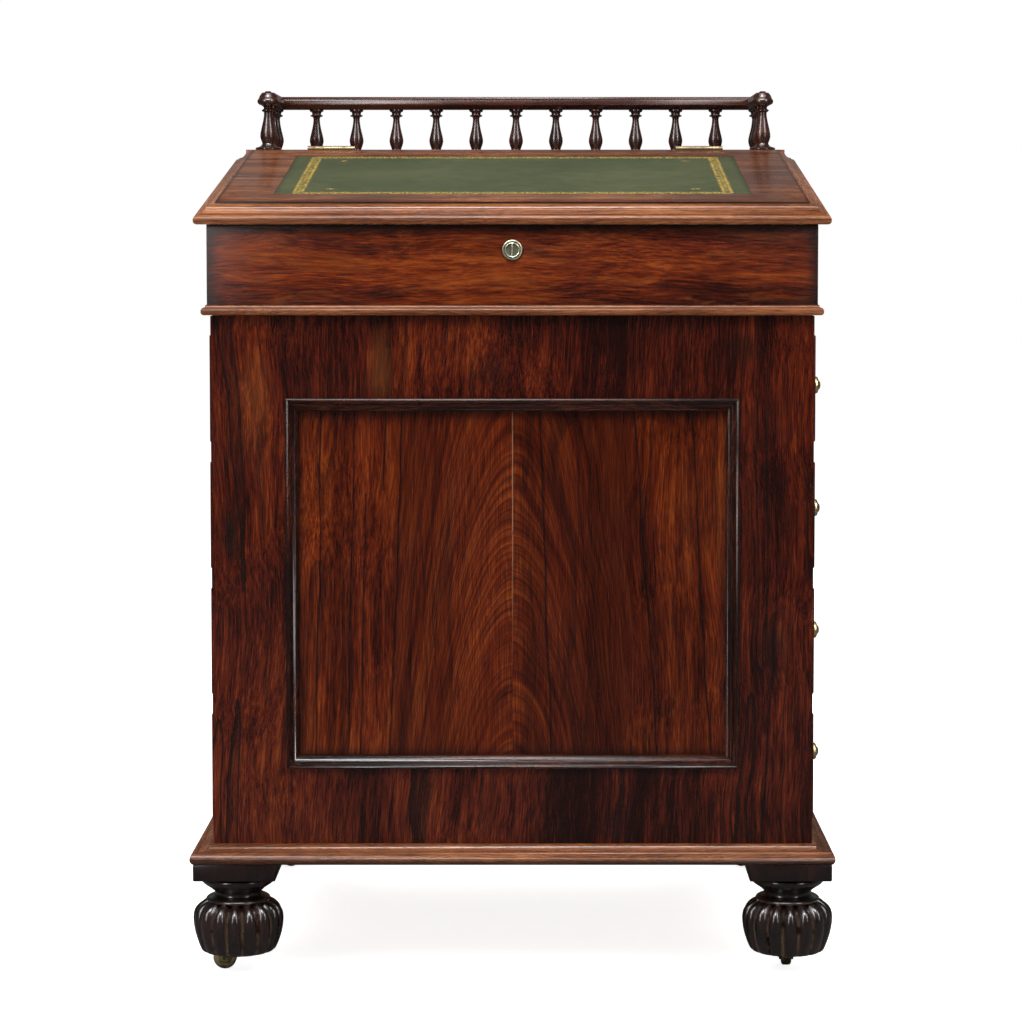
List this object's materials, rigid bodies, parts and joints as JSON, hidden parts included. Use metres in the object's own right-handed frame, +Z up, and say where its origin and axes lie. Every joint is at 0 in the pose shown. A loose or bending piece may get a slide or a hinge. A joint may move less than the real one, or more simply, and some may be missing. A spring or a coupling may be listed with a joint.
{
  "type": "davenport desk",
  "caption": "Small pedestal writing desk with a sliding box under a sloping leather lid, side drawers, turned gallery and lobed bun feet on concealed castors.",
  "frame": {"origin": "on the floor, at the middle of the base moulding's plan", "axes": "+X to the right of someone facing the desk's front, +Y towards the gallery at the back, +Z up"},
  "size_m": [0.6598, 0.5808, 0.922],
  "materials": {
    "rosewood": "french polished, dark red-brown with black figure",
    "dark_polished_wood": "polished, almost black brown",
    "plain_wood": "plain, unpolished",
    "green_leather": "worn, gilt tooled border",
    "brass": "aged"
  },
  "bodies": {
    "pedestal": {"front_frame": "rosewood", "front_panel": "rosewood", "front_panel_moulding": "rosewood", "back_frame": "rosewood", "back_panel": "rosewood", "back_panel_moulding": "rosewood", "left_side_board": "rosewood", "dummy_drawer_fronts": "rosewood", "drawer_rails": "rosewood", "drawer_runners": "plain_wood", "bottom_board": "plain_wood", "top_board": "plain_wood", "base_moulding": "rosewood", "foot_blocks": "dark_polished_wood", "foot_front_left": "dark_polished_wood", "foot_front_right": "dark_polished_wood", "foot_rear_left": "dark_polished_wood", "foot_rear_right": "dark_polished_wood", "castor_plates": "brass", "slide_bearers": "plain_wood"},
    "desk_box": {"box_front_board": "rosewood", "box_side_boards": "rosewood", "box_back_board": "rosewood", "box_bottom_board": "plain_wood", "box_bead": "rosewood", "slide_guides": "plain_wood", "lock": "brass", "nest_case": "rosewood", "hinge_leaves_box": "brass", "shelf_board": "rosewood", "gallery_posts": "dark_polished_wood", "gallery_balusters": "dark_polished_wood", "gallery_rail": "dark_polished_wood"},
    "lid": {"lid_board": "rosewood", "lid_moulding": "rosewood", "lid_leather": "green_leather", "hinge_leaves_lid": "brass"},
    "drawer_1": {"drawer_1_front": "rosewood", "drawer_1_box": "plain_wood", "drawer_1_knobs": "brass"},
    "drawer_2": {"drawer_2_front": "rosewood", "drawer_2_box": "plain_wood", "drawer_2_knobs": "brass"},
    "drawer_3": {"drawer_3_front": "rosewood", "drawer_3_box": "plain_wood", "drawer_3_knobs": "brass"},
    "drawer_4": {"drawer_4_front": "rosewood", "drawer_4_box": "plain_wood", "drawer_4_knobs": "brass"},
    "small_drawer_1": {"small_drawer_1": "plain_wood"},
    "small_drawer_2": {"small_drawer_2": "plain_wood"},
    "small_drawer_3": {"small_drawer_3": "plain_wood"},
    "castor_fork_front_left": {"castor_fork_front_left": "brass"},
    "castor_wheel_front_left": {"castor_wheel_front_left": "brass"},
    "castor_fork_front_right": {"castor_fork_front_right": "brass"},
    "castor_wheel_front_right": {"castor_wheel_front_right": "brass"},
    "castor_fork_rear_left": {"castor_fork_rear_left": "brass"},
    "castor_wheel_rear_left": {"castor_wheel_rear_left": "brass"},
    "castor_fork_rear_right": {"castor_fork_rear_right": "brass"},
    "castor_wheel_rear_right": {"castor_wheel_rear_right": "brass"}
  },
  "joints": [
    {"name": "desk_slide", "type": "slide", "parent": "pedestal", "child": "desk_box", "axis": [0, -1, 0], "range_m": [0, 0.2]},
    {"name": "lid_hinge", "type": "hinge", "parent": "desk_box", "child": "lid", "pos_m": [0, 0.1302, 0.8553], "axis": [-1, 0, 0], "range_deg": [0, 102]},
    {"name": "drawer_1_slide", "type": "slide", "parent": "pedestal", "child": "drawer_1", "axis": [1, 0, 0], "range_m": [0, 0.4]},
    {"name": "drawer_2_slide", "type": "slide", "parent": "pedestal", "child": "drawer_2", "axis": [1, 0, 0], "range_m": [0, 0.4]},
    {"name": "drawer_3_slide", "type": "slide", "parent": "pedestal", "child": "drawer_3", "axis": [1, 0, 0], "range_m": [0, 0.4]},
    {"name": "drawer_4_slide", "type": "slide", "parent": "pedestal", "child": "drawer_4", "axis": [1, 0, 0], "range_m": [0, 0.4]},
    {"name": "small_drawer_1_slide", "type": "slide", "parent": "desk_box", "child": "small_drawer_1", "axis": [0, -1, 0], "range_m": [0, 0.085]},
    {"name": "small_drawer_2_slide", "type": "slide", "parent": "desk_box", "child": "small_drawer_2", "axis": [0, -1, 0], "range_m": [0, 0.085]},
    {"name": "small_drawer_3_slide", "type": "slide", "parent": "desk_box", "child": "small_drawer_3", "axis": [0, -1, 0], "range_m": [0, 0.085]},
    {"name": "castor_swivel_front_left", "type": "hinge", "parent": "pedestal", "child": "castor_fork_front_left", "pos_m": [-0.2832, -0.2437, 0.03], "axis": [0, 0, 1], "continuous": true},
    {"name": "castor_spin_front_left", "type": "hinge", "parent": "castor_fork_front_left", "child": "castor_wheel_front_left", "pos_m": [-0.2972, -0.2437, 0.012], "axis": [0, -1, 0], "continuous": true},
    {"name": "castor_swivel_front_right", "type": "hinge", "parent": "pedestal", "child": "castor_fork_front_right", "pos_m": [0.2832, -0.2437, 0.03], "axis": [0, 0, 1], "continuous": true},
    {"name": "castor_spin_front_right", "type": "hinge", "parent": "castor_fork_front_right", "child": "castor_wheel_front_right", "pos_m": [0.2832, -0.2297, 0.012], "axis": [-1, 0, 0], "continuous": true},
    {"name": "castor_swivel_rear_left", "type": "hinge", "parent": "pedestal", "child": "castor_fork_rear_left", "pos_m": [-0.2832, 0.2437, 0.03], "axis": [0, 0, 1], "continuous": true},
    {"name": "castor_spin_rear_left", "type": "hinge", "parent": "castor_fork_rear_left", "child": "castor_wheel_rear_left", "pos_m": [-0.27004, 0.23891, 0.012], "axis": [0.342, 0.9397, 0], "continuous": true},
    {"name": "castor_swivel_rear_right", "type": "hinge", "parent": "pedestal", "child": "castor_fork_rear_right", "pos_m": [0.2832, 0.2437, 0.03], "axis": [0, 0, 1], "continuous": true},
    {"name": "castor_spin_rear_right", "type": "hinge", "parent": "castor_fork_rear_right", "child": "castor_wheel_rear_right", "pos_m": [0.27004, 0.23891, 0.012], "axis": [0.342, -0.9397, 0], "continuous": true}
  ]
}
